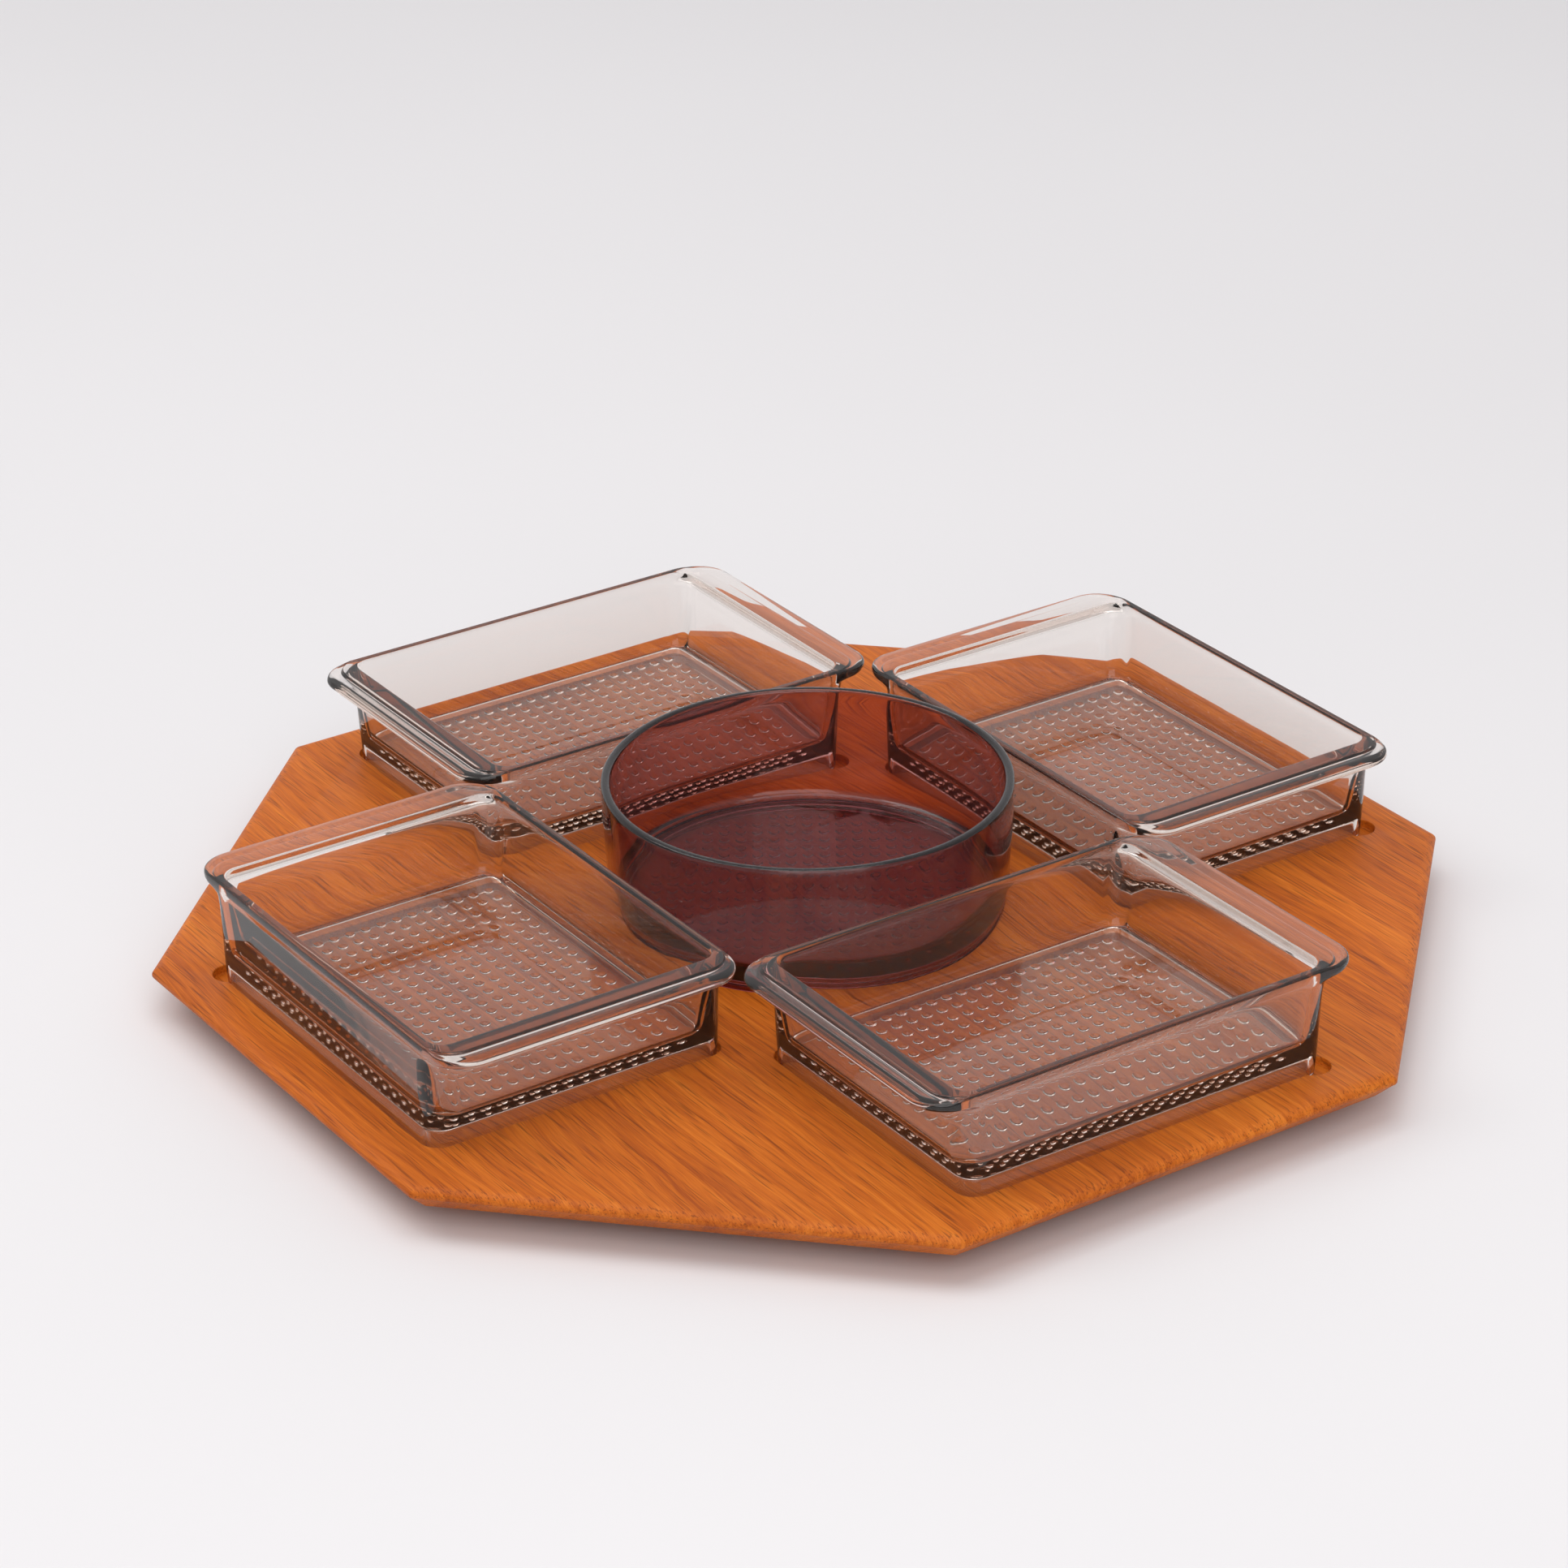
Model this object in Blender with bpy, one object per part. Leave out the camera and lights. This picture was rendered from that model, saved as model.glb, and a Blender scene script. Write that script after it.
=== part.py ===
"""Octagonal wooden turntable with four rectangular glass dishes round one round glass dish.

The board turns on a flat ball race let into its underside. Metres, +Z up, origin on the
surface that the feet stand on, below the centre of the board. Every dish lifts straight out.
"""

import math

import bmesh
import bpy
from mathutils import Vector

MM = 0.001
GAP = 0.3 * MM  # between pieces that touch

# Board: a regular octagon, flats square to X and Y
BOARD_ACROSS_FLATS = 400 * MM
BOARD_TOP = 17 * MM
BOARD_THICKNESS = 9.5 * MM
EDGE_ROUND_WIDTH = 4.2 * MM
EDGE_ROUND_DROP = 2.5 * MM
EDGE_HEIGHT = 4.0 * MM
EDGE_TUCK = 0.9 * MM  # how far the lower arris of the edge is drawn in
EDGE_TUCK_START = 0.3 * MM
EDGE_TUCK_DROP = 0.7 * MM
UNDER_BEVEL = BOARD_THICKNESS - EDGE_HEIGHT

# Rectangular dishes, long side along a flat of the board
DISH_RING_RADIUS = 130.3 * MM
DISH_RECESS_DEPTH = 3 * MM
RECESS_CLEARANCE = 0.5 * MM
RECESS_CORNER = 6.5 * MM
NOTCH_RADIUS = 6 * MM
NOTCH_SETBACK = 3.5 * MM
FOOT_HALF = Vector((53.0 * MM, 68.0 * MM))
FOOT_CORNER = 6 * MM
FOOT_WALL = 2.5 * MM
FOOT_EASE = 0.5 * MM
FOOT_HEIGHT = 6.7 * MM
DISH_FLOOR = 10.6 * MM
FLOOR_FILLET = Vector((2.0 * MM, 2.2 * MM))  # out and up, from the flat of the floor
FLOOR_FILLET_MIDDLE = Vector((1.2 * MM, 0.6 * MM))
FLOOR_CORNER = 3 * MM
DISH_HEIGHT = 37.7 * MM
RIM_HALF = Vector((53.4 * MM, 82.0 * MM))
RIM_CORNER = 12 * MM
RIM_EASE = 0.5 * MM
RIM_BEAD_HEIGHTS = (3.0 * MM, 1.8 * MM, 0.4 * MM)  # below the top of the dish
MOUTH_HALF = Vector((50.0 * MM, 68.2 * MM))
MOUTH_CORNER = 5.5 * MM
MOUTH_EASE = 0.6 * MM
FLANGE_THICKNESS = 4 * MM
FLANGE_COVE = 3 * MM
WALL_TOP_OUTER = Vector((53.2 * MM, 70.6 * MM))
WALL_TOP_CORNER = 10 * MM
INNER_FLOOR_HALF = Vector((44.5 * MM, 62.5 * MM))

# Round dish
ROUND_RIM_RADIUS = 67.5 * MM
ROUND_FOOT_RADIUS = 65.0 * MM
ROUND_WALL = 3.1 * MM
ROUND_RECESS_DEPTH = 2 * MM
ROUND_FLOOR_UNDER = 3.2 * MM
ROUND_FLOOR_TOP = 8.0 * MM
ROUND_RIM_ABOVE_BOARD = 45.5 * MM
ROUND_FOOT_WIDTH = 4 * MM
ROUND_FOOT_EASE = 0.6 * MM
ROUND_FOOT_HEIGHT = 2.6 * MM
ROUND_BULGE = 0.8 * MM
ROUND_BULGE_MIDDLE = 1.1 * MM
ROUND_BULGE_HEIGHTS = (4.2 * MM, 6.4 * MM, 8.6 * MM)
ROUND_RIM_EASE = 0.5 * MM
ROUND_RIM_DROP = (0.3 * MM, 1.2 * MM)
ROUND_FILLET = [(1.0 * MM, 4.5 * MM), (2.2 * MM, 1.5 * MM), (5.0 * MM, 0)]  # in from the wall, up

# Ball race, between a fixed lower plate and an upper plate that turns with the board
PLATE_RADIUS = 77 * MM
PLATE_THICKNESS = 1 * MM
RACE_RADIUS = 56 * MM
RACE_RIDGE_OFFSET = 3 * MM
RACE_RIDGE_HEIGHT = 0.5 * MM
RACE_RIDGE_WIDTH = 1.2 * MM
BALL_RADIUS = 1.5 * MM
BALL_COUNT = 12
BALL_PLAY = 0.05 * MM
CAGE_HALF_WIDTH = 5 * MM
CAGE_THICKNESS = 1.0 * MM
CAGE_POCKET_PLAY = 0.2 * MM
BEARING_RECESS_RADIUS = 78.5 * MM
SCREW_RING_RADIUS = 71 * MM
SCREW_SHANK = 1.2 * MM
SCREW_HEAD = 2.6 * MM
SCREW_HOLE = 1.6 * MM
SCREW_SLOT = 0.7 * MM
SCREW_SLOT_DEPTH = 0.55 * MM
SCREW_HEAD_EDGE = 0.3 * MM
SCREW_HEAD_EASE = 0.2 * MM
SCREW_POINT = 0.4 * MM
SCREW_POINT_LENGTH = 0.4 * MM
LOWER_SCREW_TURN = 0.6
UPPER_SCREW_TURN = 0.3
COUNTERSINK_MARGIN = 0.4 * MM
COUNTERSINK_FLAT = 0.6 * MM
COUNTERSINK_DEPTH = 2.2 * MM
LOWER_SCREW_CONE = 1.9 * MM
LOWER_SCREW_PAST = 0.3 * MM
PAN_HEAD_THICKNESS = 0.9 * MM
PAN_HEAD_EDGE = 0.4 * MM
PAN_HEAD_EASE = 0.6 * MM
PILOT_DEPTH = 3.2 * MM
UPPER_SCREW_DEPTH = 2.4 * MM
PIVOT_SHANK = 3.0 * MM
PIVOT_HEAD = 5.5 * MM
PIVOT_HOLE = 3.4 * MM
PIVOT_HEAD_THICKNESS = 0.7 * MM
PIVOT_HEAD_EASE = 0.2 * MM
PIVOT_DOME_EASE = 0.5 * MM
PIVOT_POCKET_MARGIN = 1.0 * MM

# Base and feet
BASE_RADIUS = 100 * MM
BASE_THICKNESS = 5 * MM
BASE_EDGE = 1 * MM
PAD_RADIUS = 8 * MM
PAD_EASE = 0.5 * MM
PAD_THICKNESS = 1.5 * MM
PAD_RING_RADIUS = 86 * MM

# Heights that follow from the sizes above
BASE_BOTTOM = PAD_THICKNESS + GAP
BASE_TOP = BASE_BOTTOM + BASE_THICKNESS
LOWER_PLATE_BOTTOM = BASE_TOP + GAP
LOWER_PLATE_TOP = LOWER_PLATE_BOTTOM + PLATE_THICKNESS
BALL_CENTRE = LOWER_PLATE_TOP + BALL_PLAY + BALL_RADIUS
UPPER_PLATE_BOTTOM = BALL_CENTRE + BALL_RADIUS + BALL_PLAY
UPPER_PLATE_TOP = UPPER_PLATE_BOTTOM + PLATE_THICKNESS
BEARING_RECESS_TOP = UPPER_PLATE_TOP + GAP
BOARD_BOTTOM = BOARD_TOP - BOARD_THICKNESS

CUT_PAST = 5 * MM  # how far a cutter runs out of the face it enters
DRILL_PAST = 1 * MM

CORNER_STEPS = 4
EDGE_STEPS = 3
ROUND_STEPS = 48
SMALL_STEPS = 12
SHARP_ANGLE = math.radians(35)

TEAK = ((0.52, 0.20, 0.045, 1), 0.42, 0.0)
SMOKY_GLASS = ((0.62, 0.57, 0.53, 1), 0.03, 0.0)
PLUM_GLASS = ((0.30, 0.13, 0.16, 1), 0.03, 0.0)
STEEL = ((0.62, 0.62, 0.60, 1), 0.32, 1.0)
BALL_STEEL = ((0.75, 0.75, 0.76, 1), 0.08, 1.0)
NYLON = ((0.85, 0.83, 0.76, 1), 0.5, 0.0)
RUBBER = ((0.03, 0.03, 0.03, 1), 0.8, 0.0)


def clear_scene():
    for found in list(bpy.data.objects):
        bpy.data.objects.remove(found, do_unlink=True)


def make_material(name, look):
    colour, roughness, metallic = look
    material = bpy.data.materials.new(name)
    material.use_nodes = True
    shader = material.node_tree.nodes["Principled BSDF"]
    shader.inputs["Base Color"].default_value = colour
    shader.inputs["Roughness"].default_value = roughness
    shader.inputs["Metallic"].default_value = metallic
    return material


def add_axis(name, location):
    """An empty on a joint's axis, which the pieces that move together hang from."""
    axis = bpy.data.objects.new(name, None)
    axis.location = location
    bpy.context.collection.objects.link(axis)
    return axis


def add_piece(name, mesh, look, location=(0, 0, 0), turn=0.0, parent=None):
    mesh.shade_smooth()
    mesh.set_sharp_from_angle(angle=SHARP_ANGLE)
    piece = bpy.data.objects.new(name, mesh)
    piece.location = location
    piece.rotation_euler = (0, 0, turn)
    piece.parent = parent
    if look:
        piece.data.materials.clear()
        piece.data.materials.append(make_material(name + "_material", look))
    bpy.context.collection.objects.link(piece)
    return piece


def subtract(piece, cutter):
    cutter.hide_render = True
    cutter.display_type = "WIRE"
    cut = piece.modifiers.new("cut_" + cutter.name, "BOOLEAN")
    cut.operation = "DIFFERENCE"
    cut.solver = "EXACT"
    cut.object = cutter


def arc(centre, radius, start, end, steps):
    """Points from one angle to another, both ends included."""
    angles = [start + (end - start) * i / steps for i in range(steps + 1)]
    return [
        (centre[0] + radius * math.cos(a), centre[1] + radius * math.sin(a)) for a in angles
    ]


def circle(radius, steps=ROUND_STEPS):
    return arc((0, 0), radius, 0, 2 * math.pi * (steps - 1) / steps, steps - 1)


def octagon(apothem):
    corner = apothem / math.cos(math.pi / 8)
    first = math.pi / 8
    return arc((0, 0), corner, first, first + 7 * math.pi / 4, 7)


def rounded_rectangle(half, radius):
    """A ring with its long or short sides along X and Y, anticlockwise from the lower right."""
    points = []
    for quarter, (sx, sy) in enumerate([(1, -1), (1, 1), (-1, 1), (-1, -1)]):
        centre = (sx * (half[0] - radius), sy * (half[1] - radius))
        start = (quarter - 1) * math.pi / 2
        points += arc(centre, radius, start, start + math.pi / 2, CORNER_STEPS)
    return points


def recess_outline(half, radius, notched):
    """A rounded rectangle whose notched corners (0 to 3, from the lower right) bulge outwards."""
    points = []
    for quarter, (sx, sy) in enumerate([(1, -1), (1, 1), (-1, 1), (-1, -1)]):
        start = (quarter - 1) * math.pi / 2
        if quarter in notched:
            spread = math.acos(NOTCH_SETBACK / NOTCH_RADIUS)
            centre = (sx * (half[0] - NOTCH_SETBACK), sy * (half[1] - NOTCH_SETBACK))
            ends = (start - spread, start + math.pi / 2 + spread)
            points += arc(centre, NOTCH_RADIUS, *ends, 3 * CORNER_STEPS)
        else:
            centre = (sx * (half[0] - radius), sy * (half[1] - radius))
            points += arc(centre, radius, start, start + math.pi / 2, CORNER_STEPS)
    return points


def loft(name, levels, ring_closed=False):
    """A closed body through a list of (outline, height). It caps the two ends, or with
    ring_closed joins the last outline to the first, as round a hole."""
    body = bmesh.new()
    rings = [[body.verts.new((x, y, z)) for x, y in outline] for outline, z in levels]
    pairs = list(zip(rings, rings[1:]))
    if ring_closed:
        pairs.append((rings[-1], rings[0]))
    else:
        body.faces.new(rings[0])
        body.faces.new(rings[-1])
    for low, high in pairs:
        count = len(low)
        for i in range(count):
            j = (i + 1) % count
            body.faces.new((low[i], low[j], high[j], high[i]))
    bmesh.ops.recalc_face_normals(body, faces=body.faces)
    mesh = bpy.data.meshes.new(name)
    body.to_mesh(mesh)
    body.free()
    return mesh


def turned(name, profile, steps=ROUND_STEPS, ring_closed=False):
    """A body turned about Z from a list of (radius, height)."""
    return loft(name, [(circle(r, steps), z) for r, z in profile], ring_closed)


def on_ring(radius, count, first=0.0):
    """(angle, x, y) of places spaced evenly round the axis."""
    angles = [first + 2 * math.pi * i / count for i in range(count)]
    return [(a, radius * math.cos(a), radius * math.sin(a)) for a in angles]


def joined(name, meshes_at):
    """One mesh from (mesh, (x, y, z)) pairs whose shapes don't touch, for use as a cutter."""
    body = bmesh.new()
    for mesh, place in meshes_at:
        before = len(body.verts)
        body.from_mesh(mesh)
        body.verts.ensure_lookup_table()
        bmesh.ops.translate(body, verts=body.verts[before:], vec=Vector(place))
    mesh = bpy.data.meshes.new(name)
    body.to_mesh(mesh)
    body.free()
    return mesh


def holes(name, radius, bottom, top, places):
    drill = turned(name + "_drill", [(radius, bottom), (radius, top)], SMALL_STEPS)
    return add_piece(name, joined(name, [(drill, (x, y, 0)) for _, x, y in places]), None)


# Places of the four rectangular dishes: name, direction from the centre, turn about Z, and
# the recess corners that have a finger notch, numbered as in recess_outline for the unturned dish
DISH_PLACES = [
    ("left", (-1, 0), 0.0, (2,)),
    ("front", (0, -1), math.pi / 2, (3,)),
    ("right", (1, 0), 0.0, (0,)),
    ("back", (0, 1), math.pi / 2, (3,)),
]


def dish_centre(direction, height):
    return (direction[0] * DISH_RING_RADIUS, direction[1] * DISH_RING_RADIUS, height)


def make_board(axis):
    half = BOARD_ACROSS_FLATS / 2
    levels = []
    for i in range(EDGE_STEPS + 1):
        angle = math.pi / 2 * i / EDGE_STEPS
        inset = EDGE_ROUND_WIDTH * (1 - math.sin(angle))
        drop = EDGE_ROUND_DROP * (1 - math.cos(angle))
        levels.append((octagon(half - inset), BOARD_TOP - drop))
    edge_bottom = BOARD_TOP - EDGE_HEIGHT
    levels.append((octagon(half - EDGE_TUCK_START), edge_bottom + EDGE_TUCK_DROP))
    levels.append((octagon(half - EDGE_TUCK), edge_bottom))
    levels.append((octagon(half - EDGE_TUCK - UNDER_BEVEL), BOARD_BOTTOM))
    board = add_piece("turntable_board", loft("turntable_board", levels), TEAK, parent=axis)

    above = BOARD_TOP + CUT_PAST
    recess_half = FOOT_HALF + Vector((RECESS_CLEARANCE, RECESS_CLEARANCE))
    for name, direction, turn, notched in DISH_PLACES:
        outline = recess_outline(recess_half, RECESS_CORNER, notched)
        levels = [(outline, -DISH_RECESS_DEPTH), (outline, above - BOARD_TOP)]
        mesh = loft("recess_" + name, levels)
        place = dish_centre(direction, BOARD_TOP)
        subtract(board, add_piece("recess_" + name, mesh, None, place, turn))
    radius = ROUND_FOOT_RADIUS + RECESS_CLEARANCE
    mesh = turned("recess_round", [(radius, BOARD_TOP - ROUND_RECESS_DEPTH), (radius, above)])
    subtract(board, add_piece("recess_round", mesh, None))

    below = BOARD_BOTTOM - CUT_PAST
    pocket_radius = PIVOT_HEAD + PIVOT_POCKET_MARGIN
    pocket_top = UPPER_PLATE_TOP + PIVOT_HEAD_THICKNESS + 2 * GAP
    recess = [
        (BEARING_RECESS_RADIUS, below),
        (BEARING_RECESS_RADIUS, BEARING_RECESS_TOP),
        (pocket_radius, BEARING_RECESS_TOP),
        (pocket_radius, pocket_top),
    ]
    subtract(board, add_piece("recess_bearing", turned("recess_bearing", recess), None))
    places = on_ring(SCREW_RING_RADIUS, 4, math.pi / 4)
    bottom = BEARING_RECESS_TOP - DRILL_PAST
    top = BEARING_RECESS_TOP + PILOT_DEPTH
    pilot = holes("pilot_holes", SCREW_HOLE, bottom, top, places)
    subtract(board, pilot)


def rectangular_dish_mesh():
    """The unturned dish, long side along Y, its foot's underside at height 0."""
    foot_ease = Vector((FOOT_EASE, FOOT_EASE))
    rim_ease = Vector((RIM_EASE, RIM_EASE))
    foot_inner = FOOT_HALF - Vector((FOOT_WALL, FOOT_WALL))
    inner_corner = FOOT_CORNER - FOOT_WALL
    flange_root = DISH_HEIGHT - FLANGE_THICKNESS
    under_flange = Vector((WALL_TOP_OUTER.x, (WALL_TOP_OUTER.y + RIM_HALF.y) / 2))
    bead_low, bead_middle, bead_high = (DISH_HEIGHT - drop for drop in RIM_BEAD_HEIGHTS)
    fillet_out, fillet_up = FLOOR_FILLET
    middle_out, middle_up = FLOOR_FILLET_MIDDLE
    wall_foot = INNER_FLOOR_HALF + Vector((fillet_out, fillet_out))
    fillet_middle = INNER_FLOOR_HALF + Vector((middle_out, middle_out))
    levels = [
        (foot_inner, inner_corner, FOOT_HEIGHT),
        (foot_inner, inner_corner, 0),
        (FOOT_HALF - foot_ease, FOOT_CORNER - FOOT_EASE, 0),
        (FOOT_HALF, FOOT_CORNER, FOOT_EASE),
        (FOOT_HALF, FOOT_CORNER, FOOT_HEIGHT),
        (WALL_TOP_OUTER, WALL_TOP_CORNER, flange_root - FLANGE_COVE),
        (under_flange, RIM_CORNER - 2 * RIM_EASE, flange_root),
        (RIM_HALF - rim_ease, RIM_CORNER - RIM_EASE, bead_low),
        (RIM_HALF, RIM_CORNER, bead_middle),
        (RIM_HALF - rim_ease, RIM_CORNER - RIM_EASE, bead_high),
        (RIM_HALF - 2.5 * rim_ease, RIM_CORNER - 2.5 * RIM_EASE, DISH_HEIGHT),
        (MOUTH_HALF + rim_ease, MOUTH_CORNER + RIM_EASE, DISH_HEIGHT),
        (MOUTH_HALF, MOUTH_CORNER, DISH_HEIGHT - MOUTH_EASE),
        (wall_foot, MOUTH_CORNER - RIM_EASE, DISH_FLOOR + fillet_up),
        (fillet_middle, MOUTH_CORNER - 2 * RIM_EASE, DISH_FLOOR + middle_up),
        (INNER_FLOOR_HALF, FLOOR_CORNER, DISH_FLOOR),
    ]
    rings = [(rounded_rectangle(half, radius), z) for half, radius, z in levels]
    return loft("rectangular_dish", rings)


def make_rectangular_dishes():
    bottom = BOARD_TOP - DISH_RECESS_DEPTH + GAP
    shape = rectangular_dish_mesh()
    for name, direction, turn, _ in DISH_PLACES:
        place = dish_centre(direction, bottom)
        add_piece("dish_" + name, shape.copy(), SMOKY_GLASS, place, turn)


def make_round_dish():
    bottom = BOARD_TOP - ROUND_RECESS_DEPTH + GAP
    height = BOARD_TOP + ROUND_RIM_ABOVE_BOARD - bottom
    foot = ROUND_FOOT_RADIUS
    rim = ROUND_RIM_RADIUS
    inner = rim - ROUND_WALL
    bulge = foot + ROUND_BULGE
    bulge_low, bulge_middle, bulge_high = ROUND_BULGE_HEIGHTS
    near_top, rim_root = (height - drop for drop in ROUND_RIM_DROP)
    profile = [
        (foot - ROUND_FOOT_WIDTH - ROUND_FOOT_EASE, ROUND_FLOOR_UNDER),
        (foot - ROUND_FOOT_WIDTH, 0),
        (foot - ROUND_FOOT_EASE, 0),
        (foot, ROUND_FOOT_EASE),
        (foot, ROUND_FOOT_HEIGHT),
        (bulge, bulge_low),
        (foot + ROUND_BULGE_MIDDLE, bulge_middle),
        (bulge, bulge_high),
        (rim, rim_root),
        (rim - ROUND_RIM_EASE, near_top),
        (rim - ROUND_WALL / 2, height),
        (inner + ROUND_RIM_EASE, near_top),
        (inner, rim_root),
    ]
    profile += [(inner - into, ROUND_FLOOR_TOP + up) for into, up in ROUND_FILLET]
    mesh = turned("round_dish", profile)
    add_piece("round_dish", mesh, PLUM_GLASS, (0, 0, bottom))


def make_base():
    inside = BASE_RADIUS - BASE_EDGE
    profile = [
        (inside, BASE_BOTTOM),
        (BASE_RADIUS, BASE_BOTTOM + BASE_EDGE),
        (BASE_RADIUS, BASE_TOP - BASE_EDGE),
        (inside, BASE_TOP),
    ]
    base = add_piece("base_disc", turned("base_disc", profile), TEAK)
    pocket_radius = PIVOT_HEAD + PIVOT_POCKET_MARGIN
    pocket_floor = LOWER_PLATE_BOTTOM - PIVOT_HEAD_THICKNESS - 2 * GAP
    pocket = [(pocket_radius, pocket_floor), (pocket_radius, BASE_TOP + DRILL_PAST)]
    pocket = turned("pivot_pocket", pocket)
    subtract(base, add_piece("pivot_pocket", pocket, None))
    places = on_ring(SCREW_RING_RADIUS, 4)
    wide = SCREW_HEAD + COUNTERSINK_MARGIN
    drill = turned(
        "countersink_drill",
        [
            (wide, BASE_BOTTOM - DRILL_PAST),
            (wide, BASE_BOTTOM + COUNTERSINK_FLAT),
            (SCREW_HOLE, BASE_BOTTOM + COUNTERSINK_DEPTH),
            (SCREW_HOLE, BASE_TOP + DRILL_PAST),
        ],
        SMALL_STEPS,
    )
    drills = joined("countersinks", [(drill, (x, y, 0)) for _, x, y in places])
    subtract(base, add_piece("countersinks", drills, None))

    for number, (_, x, y) in enumerate(on_ring(PAD_RING_RADIUS, 4, math.pi / 4), 1):
        profile = [
            (PAD_RADIUS - PAD_EASE, 0),
            (PAD_RADIUS, PAD_EASE),
            (PAD_RADIUS, PAD_THICKNESS),
        ]
        name = f"foot_{number}"
        add_piece(name, turned(name, profile, 2 * SMALL_STEPS), RUBBER, (x, y, 0))


def plate_profile(bottom, ridge_side):
    """A flat steel plate with two low ridges that keep the balls on their track."""
    top = bottom + PLATE_THICKNESS
    face = top if ridge_side > 0 else bottom
    crest = face + ridge_side * RACE_RIDGE_HEIGHT
    other = bottom if ridge_side > 0 else top
    half = RACE_RIDGE_WIDTH / 2
    profile = [(PIVOT_HOLE, face)]
    for centre in (RACE_RADIUS - RACE_RIDGE_OFFSET, RACE_RADIUS + RACE_RIDGE_OFFSET):
        profile.append((centre - half, face))
        profile.append((centre - half / 2, crest))
        profile.append((centre + half / 2, crest))
        profile.append((centre + half, face))
    profile.append((PLATE_RADIUS, face))
    profile.append((PLATE_RADIUS, other))
    profile.append((PIVOT_HOLE, other))
    return profile


def make_bearing(board_axis, cage_axis):
    lower = turned("bearing_lower_plate", plate_profile(LOWER_PLATE_BOTTOM, 1), ring_closed=True)
    lower = add_piece("bearing_lower_plate", lower, STEEL)
    places = on_ring(SCREW_RING_RADIUS, 4)
    bottom = LOWER_PLATE_BOTTOM - DRILL_PAST
    top = LOWER_PLATE_TOP + DRILL_PAST
    subtract(lower, holes("lower_holes", SCREW_HOLE, bottom, top, places))

    upper = turned("bearing_upper_plate", plate_profile(UPPER_PLATE_BOTTOM, -1), ring_closed=True)
    upper = add_piece("bearing_upper_plate", upper, STEEL, parent=board_axis)
    places = on_ring(SCREW_RING_RADIUS, 4, math.pi / 4)
    bottom = UPPER_PLATE_BOTTOM - DRILL_PAST
    top = UPPER_PLATE_TOP + DRILL_PAST
    subtract(upper, holes("upper_holes", SCREW_HOLE, bottom, top, places))

    low = BALL_CENTRE - CAGE_THICKNESS / 2
    high = BALL_CENTRE + CAGE_THICKNESS / 2
    inner = RACE_RADIUS - CAGE_HALF_WIDTH
    outer = RACE_RADIUS + CAGE_HALF_WIDTH
    profile = [(inner, low), (outer, low), (outer, high), (inner, high)]
    cage = add_piece(
        "ball_cage", turned("ball_cage", profile, ring_closed=True), NYLON, parent=cage_axis
    )
    places = on_ring(RACE_RADIUS, BALL_COUNT)
    radius = BALL_RADIUS + CAGE_POCKET_PLAY
    subtract(cage, holes("ball_pockets", radius, low - DRILL_PAST, high + DRILL_PAST, places))

    for number, (_, x, y) in enumerate(places, 1):
        name = f"bearing_ball_{number:02d}"
        ball = bmesh.new()
        bmesh.ops.create_icosphere(ball, subdivisions=2, radius=BALL_RADIUS)
        mesh = bpy.data.meshes.new(name)
        ball.to_mesh(mesh)
        ball.free()
        add_piece(name, mesh, BALL_STEEL, (x, y, BALL_CENTRE), parent=cage_axis)


def make_pivot():
    """The rivet that holds the two plates together: a head in the base, a head over the upper plate."""
    low_head = LOWER_PLATE_BOTTOM - GAP
    high_head = UPPER_PLATE_TOP + GAP
    profile = [
        (PIVOT_HEAD - PIVOT_HEAD_EASE, low_head - PIVOT_HEAD_THICKNESS),
        (PIVOT_HEAD, low_head),
        (PIVOT_SHANK, low_head),
        (PIVOT_SHANK, high_head),
        (PIVOT_HEAD, high_head),
        (PIVOT_HEAD - PIVOT_DOME_EASE, high_head + PIVOT_HEAD_THICKNESS - PIVOT_HEAD_EASE),
    ]
    add_piece("pivot_rivet", turned("pivot_rivet", profile, 2 * SMALL_STEPS), STEEL)


def slotted(screw, bottom):
    """Cuts a driver slot up into a screw head whose lowest face is at bottom."""
    width = SCREW_SLOT / 2
    reach = SCREW_HEAD + DRILL_PAST
    outline = [(reach, -width), (reach, width), (-reach, width), (-reach, -width)]
    name = "slot_" + screw.name
    mesh = loft(name, [(outline, bottom - DRILL_PAST), (outline, bottom + SCREW_SLOT_DEPTH)])
    cutter = add_piece(name, mesh, None, screw.location, screw.rotation_euler.z, screw.parent)
    subtract(screw, cutter)


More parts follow.
